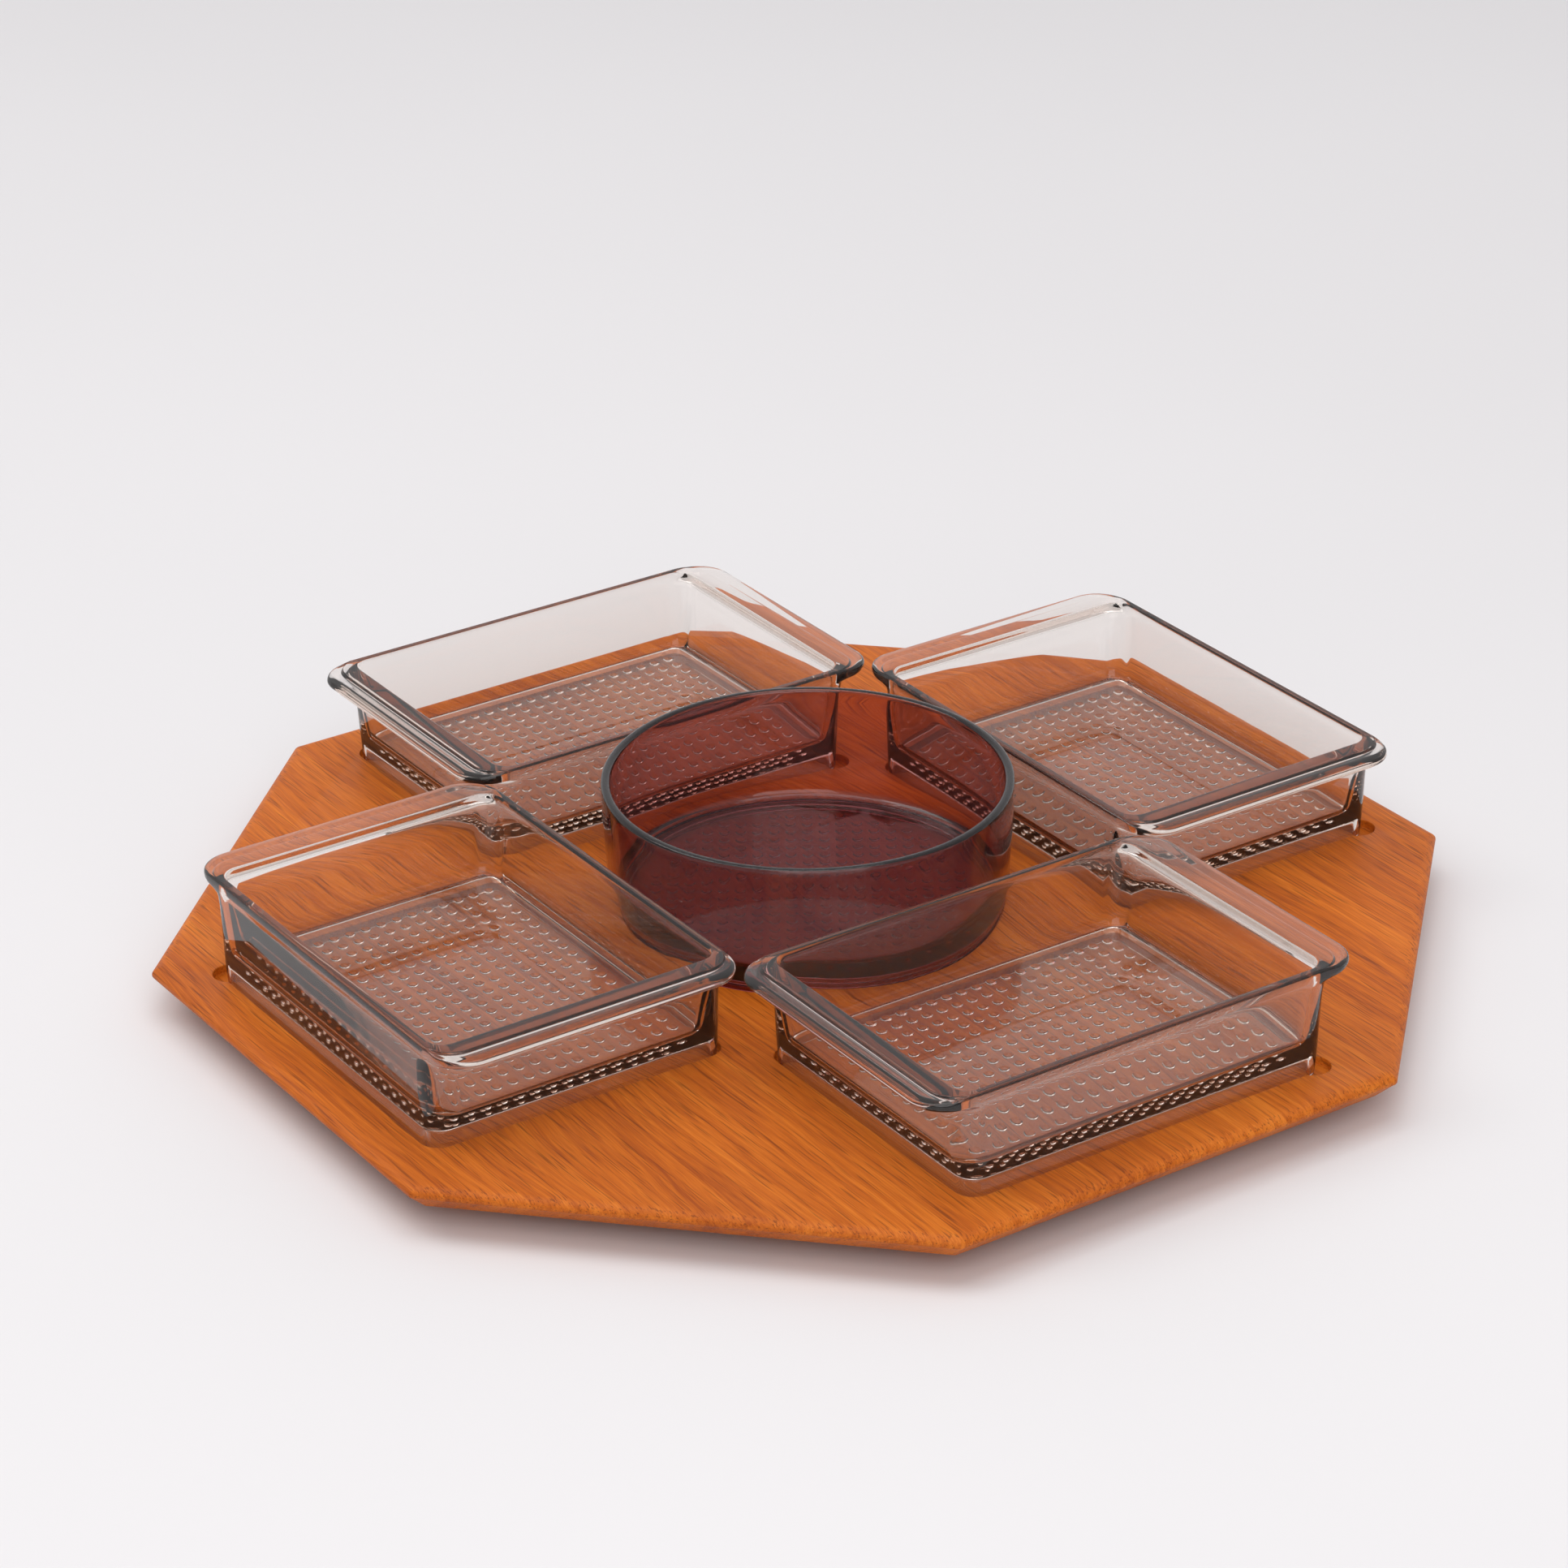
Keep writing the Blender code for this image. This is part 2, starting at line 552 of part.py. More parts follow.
def make_screws(board_axis):
    bottom = BASE_BOTTOM + GAP
    shank_top = LOWER_PLATE_TOP + LOWER_SCREW_PAST
    lower_profile = [
        (SCREW_HEAD - SCREW_HEAD_EASE, bottom),
        (SCREW_HEAD, bottom + SCREW_HEAD_EDGE),
        (SCREW_SHANK, bottom + LOWER_SCREW_CONE),
        (SCREW_SHANK, shank_top),
        (SCREW_SHANK - SCREW_POINT, shank_top + SCREW_POINT_LENGTH),
    ]
    for number, (angle, x, y) in enumerate(on_ring(SCREW_RING_RADIUS, 4), 1):
        name = f"lower_screw_{number}"
        mesh = turned(name, lower_profile, SMALL_STEPS)
        slotted(add_piece(name, mesh, STEEL, (x, y, 0), angle + LOWER_SCREW_TURN), bottom)

    head_top = UPPER_PLATE_BOTTOM - GAP
    bottom = head_top - PAN_HEAD_THICKNESS
    shank_top = BEARING_RECESS_TOP + UPPER_SCREW_DEPTH
    upper_profile = [
        (SCREW_HEAD - PAN_HEAD_EASE, bottom),
        (SCREW_HEAD, head_top - PAN_HEAD_EDGE),
        (SCREW_HEAD, head_top),
        (SCREW_SHANK, head_top),
        (SCREW_SHANK, shank_top),
        (SCREW_SHANK - SCREW_POINT, shank_top + SCREW_POINT_LENGTH),
    ]
    for number, (angle, x, y) in enumerate(on_ring(SCREW_RING_RADIUS, 4, math.pi / 4), 1):
        name = f"upper_screw_{number}"
        mesh = turned(name, upper_profile, SMALL_STEPS)
        turn = angle + UPPER_SCREW_TURN
        slotted(add_piece(name, mesh, STEEL, (x, y, 0), turn, board_axis), bottom)


def main():
    clear_scene()
    board_axis = add_axis("board_spin_axis", (0, 0, 0))
    cage_axis = add_axis("cage_spin_axis", (0, 0, 0))
    make_board(board_axis)
    make_rectangular_dishes()
    make_round_dish()
    make_base()
    make_bearing(board_axis, cage_axis)
    make_pivot()
    make_screws(board_axis)


main()
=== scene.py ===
import math

import bmesh
import bpy
from mathutils import Matrix, Vector
from mathutils.geometry import tessellate_polygon


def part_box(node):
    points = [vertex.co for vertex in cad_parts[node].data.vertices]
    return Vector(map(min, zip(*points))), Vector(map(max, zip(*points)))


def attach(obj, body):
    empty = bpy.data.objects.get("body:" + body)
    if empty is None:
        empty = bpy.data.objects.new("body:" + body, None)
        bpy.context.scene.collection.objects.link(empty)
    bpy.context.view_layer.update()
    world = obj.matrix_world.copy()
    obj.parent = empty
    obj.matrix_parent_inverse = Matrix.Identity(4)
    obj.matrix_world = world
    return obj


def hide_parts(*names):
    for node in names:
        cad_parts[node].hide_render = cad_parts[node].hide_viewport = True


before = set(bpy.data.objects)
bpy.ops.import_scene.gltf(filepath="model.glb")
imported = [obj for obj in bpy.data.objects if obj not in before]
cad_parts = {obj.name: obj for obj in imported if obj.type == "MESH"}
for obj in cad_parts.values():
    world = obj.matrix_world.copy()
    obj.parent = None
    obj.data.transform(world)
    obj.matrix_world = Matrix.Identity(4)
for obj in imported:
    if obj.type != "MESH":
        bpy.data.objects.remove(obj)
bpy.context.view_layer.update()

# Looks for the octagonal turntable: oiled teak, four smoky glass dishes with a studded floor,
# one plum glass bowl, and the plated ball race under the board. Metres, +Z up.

MM = 0.001

# ---------------------------------------------------------------- sizes not in the frame

# Board. The recesses have the CAD's sizes, with eased arrises, apart from what is hidden below:
# the pivot pocket is 0.5 mm wider in radius and 0.2 mm shallower than the CAD's, and the upper
# screws' pilot holes are left out
EDGE_ROUND_WIDTH = 4.2 * MM
EDGE_ROUND_DROP = 2.5 * MM
EDGE_HEIGHT = 4.0 * MM
EDGE_TUCK = 0.9 * MM
EDGE_STEPS = 10
# Inset and depth below the top of each level where the edge turns under
LOWER_EDGE = [
    (0.05 * MM, 3.0 * MM),
    (0.3 * MM, 3.5 * MM),
    (0.7 * MM, 3.85 * MM),
    (1.2 * MM, 4.25 * MM),
]
BOARD_CORNER = 1.6 * MM
ARRIS = 0.35 * MM
RECESS_CLEARANCE = 0.5 * MM
RECESS_CORNER = 6.5 * MM
RECESS_GAP = 0.3 * MM
NOTCH_RADIUS = 6.0 * MM
NOTCH_SETBACK = 3.5 * MM
BEARING_RECESS_RADIUS = 78.5 * MM
PIVOT_POCKET_RADIUS = 7.0 * MM

# Rectangular dishes, long side along Y before they are turned
FOOT_HALF = (53.0 * MM, 68.0 * MM)
FOOT_HEIGHT = 6.7 * MM
DISH_FLOOR = 10.6 * MM
LIP_START = 66.0 * MM
LIP_RAMP = 6.0 * MM
STUD_PITCH = 5.8 * MM
STUD_RADIUS = 1.85 * MM
STUD_SLOPE = math.radians(52)  # of the ball cap, where it meets the flat
STUDS_ACROSS = 15
STUDS_ALONG = 20
STUD_SIDES = 16
STUD_RINGS = 6

# Bowl
BOWL_FOOT_RADIUS = 65.0 * MM
BOWL_WALL = 3.1 * MM
BOWL_FLOOR_UNDER = 3.2 * MM
BOWL_FLOOR_TOP = 8.0 * MM
BOWL_STUD_PITCH = 5.6 * MM
BOWL_STUD_REACH = 53.0 * MM
BOWL_STUD_TURN = math.atan2(-0.554, 0.832)  # rows run along the camera's view
BOWL_SIDES = 160
BOARD_HOLE_SIDES = 96

CORNER_STEPS = 10
RECESS_CORNER_STEPS = 8
NOTCH_STEPS = 24
OCTAGON_CORNER_STEPS = 4
MERGE_DISTANCE = 0.002 * MM
SMOOTH_ANGLE = math.radians(40)

# Camera
CAMERA_AIM = Vector((40.3 * MM, 74.3 * MM, 17 * MM))
CAMERA_DISTANCE = 1.6615
CAMERA_AZIMUTH = math.radians(33.698)
CAMERA_DEPRESSION = math.radians(26.682)
CAMERA_ROLL = math.radians(-0.736)
CAMERA_LENS = 110.38
CAMERA_SENSOR = 36.0


# ---------------------------------------------------------------- shapes


def arc(centre, radius, start, end, steps):
    """Points from one angle to another, both ends included."""
    angles = [start + (end - start) * i / steps for i in range(steps + 1)]
    return [(centre[0] + radius * math.cos(a), centre[1] + radius * math.sin(a)) for a in angles]


def circle(radius, sides):
    return arc((0, 0), radius, 0, 2 * math.pi * (sides - 1) / sides, sides - 1)


def rounded_rectangle(half_x, half_y, radius):
    points = []
    for quarter, (sx, sy) in enumerate([(1, -1), (1, 1), (-1, 1), (-1, -1)]):
        centre = (sx * (half_x - radius), sy * (half_y - radius))
        start = (quarter - 1) * math.pi / 2
        points += arc(centre, radius, start, start + math.pi / 2, CORNER_STEPS)
    return points


def octagon(apothem, corner):
    """A regular octagon, flats square to X and Y, with each corner rounded in plan."""
    points = []
    reach = (apothem - corner) / math.cos(math.pi / 8)
    for i in range(8):
        middle = math.pi / 8 + i * math.pi / 4
        centre = (reach * math.cos(middle), reach * math.sin(middle))
        start = middle - math.pi / 8
        points += arc(centre, corner, start, start + math.pi / 4, OCTAGON_CORNER_STEPS)
    return points


def recess_outline(half, radius, notched):
    """A rounded rectangle whose notched corners (0 to 3, from the lower right) bulge outwards."""
    points = []
    for quarter, (sx, sy) in enumerate([(1, -1), (1, 1), (-1, 1), (-1, -1)]):
        start = (quarter - 1) * math.pi / 2
        if quarter in notched:
            spread = math.acos(NOTCH_SETBACK / NOTCH_RADIUS)
            centre = (sx * (half[0] - NOTCH_SETBACK), sy * (half[1] - NOTCH_SETBACK))
            ends = (start - spread, start + math.pi / 2 + spread)
            points += arc(centre, NOTCH_RADIUS, *ends, NOTCH_STEPS)
        else:
            centre = (sx * (half[0] - radius), sy * (half[1] - radius))
            points += arc(centre, radius, start, start + math.pi / 2, RECESS_CORNER_STEPS)
    return points


def grown(outline, distance):
    """The outline moved outwards, for an anticlockwise list of points."""
    moved = []
    count = len(outline)
    for i, here in enumerate(outline):
        before = Vector(here) - Vector(outline[i - 1])
        after = Vector(outline[(i + 1) % count]) - Vector(here)
        along = (before.normalized() + after.normalized()).normalized()
        moved.append((here[0] + along.y * distance, here[1] - along.x * distance))
    return moved


def placed(outline, turn, centre):
    c, s = math.cos(turn), math.sin(turn)
    return [(centre[0] + c * x - s * y, centre[1] + s * x + c * y) for x, y in outline]


def softened(profile, steps=5):
    """A profile of (values..., softening) with each corner rounded off by its own length."""
    rows = [Vector(row[:-1]) for row in profile]
    out = [rows[0]]
    for i in range(1, len(rows) - 1):
        back = rows[i - 1] - rows[i]
        on = rows[i + 1] - rows[i]
        cut = min(profile[i][-1], 0.48 * back.length, 0.48 * on.length)
        if cut <= 0:
            out.append(rows[i])
            continue
        start = rows[i] + back.normalized() * cut
        end = rows[i] + on.normalized() * cut
        for k in range(steps + 1):
            t = k / steps
            out.append(start * (1 - t) ** 2 + rows[i] * 2 * t * (1 - t) + end * t * t)
    out.append(rows[-1])
    return out


class Body:
    """Points and faces gathered for one mesh."""

    def __init__(self):
        self.points = []
        self.faces = []

    def ring(self, outline, z):
        first = len(self.points)
        self.points += [(x, y, z) for x, y in outline]
        return list(range(first, first + len(outline)))

    def skin(self, rings):
        for low, high in zip(rings, rings[1:]):
            count = len(low)
            for i in range(count):
                j = (i + 1) % count
                self.faces.append((low[i], low[j], high[j], high[i]))

    def fill(self, *rings):
        """Triangles between an outer ring and any holes in it, all at one height."""
        flat = [i for ring in rings for i in ring]
        loops = [[Vector(self.points[i]) for i in ring] for ring in rings]
        for face in tessellate_polygon(loops):
            self.faces.append(tuple(flat[i] for i in face))

    def mesh(self, name):
        made = bpy.data.meshes.new(name)
        made.from_pydata(self.points, [], self.faces)
        body = bmesh.new()
        body.from_mesh(made)
        bmesh.ops.remove_doubles(body, verts=body.verts, dist=MERGE_DISTANCE)
        bmesh.ops.recalc_face_normals(body, faces=body.faces)
        body.to_mesh(made)
        body.free()
        made.shade_smooth()
        made.set_sharp_from_angle(angle=SMOOTH_ANGLE)
        return made


def stud(body, middle, turn, height):
    """A ball cap hanging from a flat underside at the height. It returns the cap's outer ring."""
    ball = STUD_RADIUS / math.sin(STUD_SLOPE)
    tip = len(body.points)
    body.points.append((*middle, height - ball * (1 - math.cos(STUD_SLOPE))))
    start = turn - math.pi / 4 * 3
    end = start + 2 * math.pi * (1 - 1 / STUD_SIDES)
    inner = None
    for k in range(1, STUD_RINGS + 1):
        slope = STUD_SLOPE * k / STUD_RINGS
        depth = ball * (math.cos(slope) - math.cos(STUD_SLOPE))
        outline = arc(middle, ball * math.sin(slope), start, end, STUD_SIDES - 1)
        ring = body.ring(outline, height - depth)
        if inner:
            body.skin([inner, ring])
        else:
            for side in range(STUD_SIDES):
                body.faces.append((tip, ring[side], ring[(side + 1) % STUD_SIDES]))
        inner = ring
    return inner


def join_stud(body, ring, square):
    """The flat between a stud's outer ring and the four corners of its cell."""
    quarter = STUD_SIDES // 4
    half = quarter // 2
    for side in range(4):
        here, there = square[side], square[(side + 1) % 4]
        edge = [ring[(side * quarter + k) % STUD_SIDES] for k in range(quarter + 1)]
        for k in range(half):
            body.faces.append((here, edge[k], edge[k + 1]))
        body.faces.append((here, edge[half], there))
        for k in range(half, quarter):
            body.faces.append((there, edge[k], edge[k + 1]))


def studded_field(body, pitch, cells, turn, height):
    """Round studs hanging from a flat underside, one in the middle of each (i, j) cell.

    It returns the ring of points round the field, for fill."""
    corners = {}

    def place(i, j):
        return placed([(i * pitch, j * pitch)], turn, (0, 0))[0]

    def corner(i, j):
        if (i, j) not in corners:
            corners[i, j] = len(body.points)
            body.points.append((*place(i, j), height))
        return corners[i, j]

    border = {}  # cell edges with a cell on one side only, from each point to the next
    for i, j in sorted(cells):
        square = [corner(i, j), corner(i + 1, j), corner(i + 1, j + 1), corner(i, j + 1)]
        for a, b in zip(square, square[1:] + square[:1]):
            if (b, a) in border:
                del border[b, a]
            else:
                border[a, b] = True
        join_stud(body, stud(body, place(i + 0.5, j + 0.5), turn, height), square)
    after = {a: b for a, b in border}
    loop = [next(iter(after))]
    while after[loop[-1]] != loop[0]:
        loop.append(after[loop[-1]])
    return loop


def add_piece(name, mesh, body, material, replaced, location=(0, 0, 0), turn=0.0):
    """A new visible piece that rides on a body and stands for the CAD nodes it replaces."""
    mesh.transform(Matrix.Translation(Vector(location)) @ Matrix.Rotation(turn, 4, "Z"))
    piece = bpy.data.objects.new(name, mesh)
    bpy.context.scene.collection.objects.link(piece)
    mesh.materials.append(material)
    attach(piece, body)
    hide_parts(*replaced)


def middle_of(node):
    """The middle, half size and lowest corner of a CAD node's box."""
    low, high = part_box(node)
    return (low + high) / 2, (high - low) / 2, low


# ---------------------------------------------------------------- materials


def add_node(tree, kind, inputs=None, **settings):
    node = tree.nodes.new(kind)
    for key, value in settings.items():
        setattr(node, key, value)
    for socket, value in (inputs or {}).items():
        if isinstance(value, bpy.types.NodeSocket):
            tree.links.new(value, node.inputs[socket])
        else:
            node.inputs[socket].default_value = value
    return node


def start_material(name):
    material = bpy.data.materials.new(name)
    material.use_nodes = True
    tree = material.node_tree
    return material, tree, tree.nodes["Principled BSDF"]


def object_coordinates(tree, scale, turn=(0, 0, 0)):
    place = add_node(tree, "ShaderNodeTexCoord")
    mapping = add_node(tree, "ShaderNodeMapping", {"Vector": place.outputs["Object"]})
    mapping.inputs["Scale"].default_value = scale
    mapping.inputs["Rotation"].default_value = turn
    return mapping.outputs["Vector"]


def noise(tree, vector, scale, detail=3.0, rough=0.5):
    inputs = {"Vector": vector, "Scale": scale, "Detail": detail, "Roughness": rough}
    return add_node(tree, "ShaderNodeTexNoise", inputs).outputs["Fac"]


def remap(tree, value, low, high, to_low=0.0, to_high=1.0):
    made = add_node(tree, "ShaderNodeMapRange", {"Value": value})
    made.inputs["From Min"].default_value = low
    made.inputs["From Max"].default_value = high
    made.inputs["To Min"].default_value = to_low
    made.inputs["To Max"].default_value = to_high
    return made.outputs["Result"]


def math_node(tree, operation, a, b):
    return add_node(tree, "ShaderNodeMath", {0: a, 1: b}, operation=operation).outputs["Value"]


def colour_ramp(tree, value, stops):
    made = add_node(tree, "ShaderNodeValToRGB", {"Fac": value})
    ramp = made.color_ramp
    while len(ramp.elements) < len(stops):
        ramp.elements.new(0.5)
    for element, (position, colour) in zip(ramp.elements, stops):
        element.position = position
        element.color = (*colour, 1)
    return made.outputs["Color"]


def mix_colour(tree, factor, a, b, blend="MIX"):
    made = tree.nodes.new("ShaderNodeMix")
    made.data_type = "RGBA"
    made.blend_type = blend
    for index, value in ((0, factor), (6, a), (7, b)):
        if isinstance(value, bpy.types.NodeSocket):
            tree.links.new(value, made.inputs[index])
        else:
            made.inputs[index].default_value = value
    return made.outputs[2]


def add_bump(tree, shader, height, strength, distance):
    bump = add_node(tree, "ShaderNodeBump", {"Height": height})
    bump.inputs["Strength"].default_value = strength
    bump.inputs["Distance"].default_value = distance
    tree.links.new(bump.outputs["Normal"], shader.inputs["Normal"])


# Teak: how far the grain sways, the scale of streaks and pores along it, and the colours
GRAIN_SWAY = 6.0 * MM
GRAIN_STRETCH = 0.026
PORE_STRETCH = 0.025
PORE_COLOUR = (0.13, 0.026, 0.004, 1)
TEAK_COLOURS = [
    (0.36, (0.370, 0.070, 0.0045)),
    (0.46, (0.530, 0.118, 0.0075)),
    (0.53, (0.630, 0.153, 0.0105)),
    (0.62, (0.740, 0.210, 0.0200)),
]

# Glass: the share of light let through rather than scattered, the refractive index, and for
# each colour its surface tint, depth tint and density
GLASS_CLEARNESS = 0.992
GLASS_IOR = 1.5
SMOKY_LOOK = ((1.0, 0.985, 0.97), (0.80, 0.60, 0.46), 38)
PLUM_LOOK = ((1.0, 0.74, 0.73), (0.50, 0.04, 0.10), 215)


def make_teak(name, turn=0.0):
    """Oiled teak, grain along Y before the turn: soft streaks, growth lines and dark pores."""
    material, tree, shader = start_material(name)
    rotation = (0, 0, turn)
    broad = object_coordinates(tree, (1, GRAIN_STRETCH, 0.4), rotation)
    wander = noise(tree, object_coordinates(tree, (1, 0.35, 1), rotation), 14, 2)
    sway = remap(tree, wander, 0.3, 0.7, -GRAIN_SWAY, GRAIN_SWAY)
    shift = add_node(tree, "ShaderNodeCombineXYZ", {"X": sway}).outputs["Vector"]
    bent = add_node(tree, "ShaderNodeVectorMath", {0: broad, 1: shift}, operation="ADD")
    bent = bent.outputs["Vector"]

    tone = noise(tree, bent, 42, 3, 0.5)
    streak = noise(tree, bent, 700, 4, 0.6)
    fine = noise(tree, bent, 2600, 3, 0.6)
    lines = add_node(
        tree,
        "ShaderNodeTexWave",
        {"Vector": bent, "Scale": 30.0, "Distortion": 7.0, "Detail": 2.0, "Detail Scale": 2.0},
        wave_type="BANDS",
        bands_direction="X",
        wave_profile="SAW",
    )
    grain = math_node(tree, "MULTIPLY", tone, 0.30)
    grain = math_node(tree, "ADD", grain, math_node(tree, "MULTIPLY", streak, 0.38))
    grain = math_node(tree, "ADD", grain, math_node(tree, "MULTIPLY", fine, 0.32))
    grain = math_node(tree, "ADD", grain, remap(tree, lines.outputs["Fac"], 0, 1, -0.025, 0.035))
    colour = colour_ramp(tree, grain, TEAK_COLOURS)
    pores = noise(tree, object_coordinates(tree, (1, PORE_STRETCH, 1), rotation), 1900, 1, 0.5)
    pore = remap(tree, pores, 0.59, 0.68)
    colour = mix_colour(tree, math_node(tree, "MULTIPLY", pore, 0.55), colour, PORE_COLOUR)
    patch = noise(tree, object_coordinates(tree, (1, 0.6, 1), rotation), 9, 2)
    warm = colour_ramp(tree, patch, [(0.3, (0.92, 0.90, 0.88)), (0.7, (1.0, 1.0, 1.0))])
    colour = mix_colour(tree, 1.0, colour, warm, "MULTIPLY")
    tree.links.new(colour, shader.inputs["Base Color"])
    tree.links.new(remap(tree, streak, 0.3, 0.7, 0.42, 0.56), shader.inputs["Roughness"])
    shader.inputs["Specular IOR Level"].default_value = 0.22
    height = math_node(tree, "SUBTRACT", math_node(tree, "MULTIPLY", fine, 0.5), pore)
    add_bump(tree, shader, height, 0.35, 0.05 * MM)
    return material


def make_glass(name, surface, colour, density):
    """Pressed glass: tinted in its depth, with a faint haze, smudges and an uneven surface."""
    material, tree, shader = start_material(name)
    shader.inputs["Base Color"].default_value = (*surface, 1)
    shader.inputs["Transmission Weight"].default_value = GLASS_CLEARNESS
    shader.inputs["IOR"].default_value = GLASS_IOR
    place = object_coordinates(tree, (1, 1, 1))
    smudge = noise(tree, place, 45, 3, 0.6)
    tree.links.new(remap(tree, smudge, 0.45, 0.75, 0.0, 0.05), shader.inputs["Roughness"])
    wave = noise(tree, place, 90, 1, 0.4)
    add_bump(tree, shader, wave, 0.25, 0.06 * MM)
    volume = add_node(tree, "ShaderNodeVolumeAbsorption")
    volume.inputs["Color"].default_value = (*colour, 1)
    volume.inputs["Density"].default_value = density
    tree.links.new(volume.outputs["Volume"], tree.nodes["Material Output"].inputs["Volume"])
    return material


def make_steel(name, colour, roughness, scratch):
    """Plated steel with a faint mottle and fine scratches."""
    material, tree, shader = start_material(name)
    shader.inputs["Metallic"].default_value = 1.0
    place = object_coordinates(tree, (1, 1, 1))
    mottle = noise(tree, place, 180, 4, 0.6)
    dark = tuple(0.78 * c for c in colour)
    plated = colour_ramp(tree, mottle, [(0.35, dark), (0.65, colour)])
    tree.links.new(plated, shader.inputs["Base Color"])
    rough = remap(tree, noise(tree, place, 700, 3), 0.3, 0.7, roughness * 0.75, roughness * 1.3)
    tree.links.new(rough, shader.inputs["Roughness"])
    lines = noise(tree, object_coordinates(tree, (1, 0.04, 1)), 3000, 2)
    add_bump(tree, shader, lines, scratch, 0.02 * MM)
    return material


def make_plastic(name, dark, light, roughness, grain):
    """Moulded plastic or rubber with a fine grain."""
    material, tree, shader = start_material(name)
    place = object_coordinates(tree, (1, 1, 1))
    cloud = noise(tree, place, 120, 3)
    clouded = colour_ramp(tree, cloud, [(0.3, dark), (0.7, light)])
    tree.links.new(clouded, shader.inputs["Base Color"])
    speck = noise(tree, place, 2400, 2)
    rough = remap(tree, speck, 0.3, 0.7, roughness - 0.08, roughness + 0.08)
    tree.links.new(rough, shader.inputs["Roughness"])
    add_bump(tree, shader, speck, grain, 0.05 * MM)
    return material


# ---------------------------------------------------------------- pieces


# Name, turn about Z, and the recess corners that have a finger notch, numbered before the turn
DISHES = [
    ("left", 0.0, (2,)),
    ("front", math.pi / 2, (3,)),
    ("right", 0.0, (0,)),
    ("back", math.pi / 2, (3,)),
]
# CAD nodes whose names start so are plated steel
STEEL_PREFIXES = [
    "bearing_lower_plate",
    "bearing_upper_plate",
    "pivot_rivet",
    "lower_screw",
    "upper_screw",
]


def sink(body, outline_at, top, floor):
    """A flat-bottomed recess whose outline is outline_at(growth), with its arrises eased.

    It returns the ring where it meets the board's top."""
    steps = [
        (ARRIS, top),
        (0.5 * ARRIS, top - 0.1 * ARRIS),
        (0.1 * ARRIS, top - 0.5 * ARRIS),
        (0, top - ARRIS),
        (0, floor + ARRIS),
        (-ARRIS, floor),
    ]
    rings = [body.ring(outline_at(growth), z) for growth, z in steps]
    body.skin(rings)
    body.fill(rings[-1])
    return rings[0]


def make_board(material):
    middle, half, low = middle_of("turntable_board")
    top = middle.z + half.z
    bottom = low.z
    apothem = half.x
    body = Body()
    levels = []
    for i in range(EDGE_STEPS + 1):
        angle = math.pi / 2 * i / EDGE_STEPS
        inset = EDGE_ROUND_WIDTH * (1 - math.sin(angle))
        levels.append((inset, top - EDGE_ROUND_DROP * (1 - math.cos(angle))))
    under_bevel = (top - EDGE_HEIGHT) - bottom
    levels += [(inset, top - depth) for inset, depth in LOWER_EDGE]
    levels.append((EDGE_TUCK + under_bevel, bottom))
    rings = [body.ring(octagon(apothem - inset, BOARD_CORNER), z) for inset, z in levels]
    body.skin(rings)

    holes = []
    recess_half = [size + RECESS_CLEARANCE for size in FOOT_HALF]
    for name, turn, notched in DISHES:
        centre, _, dish_low = middle_of("dish_" + name)
        outline = recess_outline(recess_half, RECESS_CORNER, notched)

        def dish_outline(growth, outline=outline, turn=turn, centre=centre):
            return placed(grown(outline, growth), turn, centre)

        holes.append(sink(body, dish_outline, top, dish_low.z - RECESS_GAP))
    _, _, bowl_low = middle_of("round_dish")

    def bowl_outline(growth):
        return circle(BOWL_FOOT_RADIUS + RECESS_CLEARANCE + growth, BOARD_HOLE_SIDES)

    holes.append(sink(body, bowl_outline, top, bowl_low.z - RECESS_GAP))
    body.fill(rings[0], *holes)

    recess_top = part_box("bearing_upper_plate")[1].z + RECESS_GAP
    pocket_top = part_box("pivot_rivet")[1].z + RECESS_GAP
    profile = [
        (BEARING_RECESS_RADIUS + ARRIS, bottom),
        (BEARING_RECESS_RADIUS, bottom + ARRIS),
        (BEARING_RECESS_RADIUS, recess_top),
        (PIVOT_POCKET_RADIUS, recess_top),
        (PIVOT_POCKET_RADIUS, pocket_top),
    ]
    made = [body.ring(circle(r, BOARD_HOLE_SIDES), z) for r, z in profile]
    body.skin(made)
    body.fill(made[-1])
    body.fill(rings[-1], made[0])
    mesh = body.mesh("teak_board_detailed")
    add_piece(
        "teak_board_detailed", mesh, "turntable", material, ["turntable_board"]
    )


